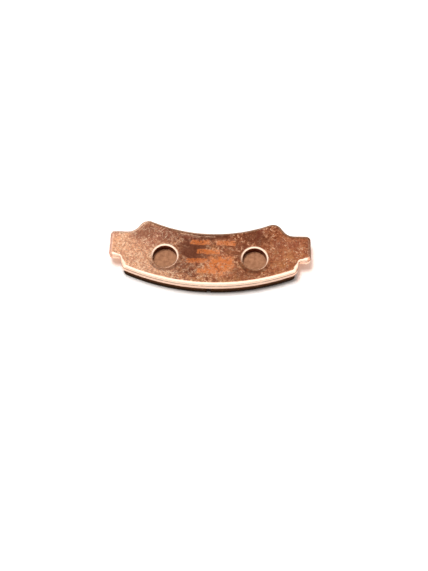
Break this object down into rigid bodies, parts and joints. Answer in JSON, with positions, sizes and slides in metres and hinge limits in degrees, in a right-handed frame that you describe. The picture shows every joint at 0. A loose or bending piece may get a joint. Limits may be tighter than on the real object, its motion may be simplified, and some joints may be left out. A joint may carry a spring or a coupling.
{
  "type": "disc brake pad",
  "caption": "Curved disc brake pad: copper-plated steel backing plate with end tabs, round holes and rolled edges, bonded to a sintered friction lining with a central groove.",
  "frame": {"origin": "middle of the pad's plan, on the surface that the wear face lies on", "axes": "+X along the pad from tab to tab, +Y from the convex outer edge to the concave inner edge, +Z from the wear face to the plate's back face"},
  "size_m": [0.105, 0.0376, 0.0092],
  "materials": {
    "copper_plated_steel": "copper plating, satin, mottled",
    "sintered_lining": "matt sintered metal, dark brown"
  },
  "bodies": {
    "root": {"backing_plate": "copper_plated_steel", "friction_lining": "sintered_lining"}
  },
  "joints": []
}
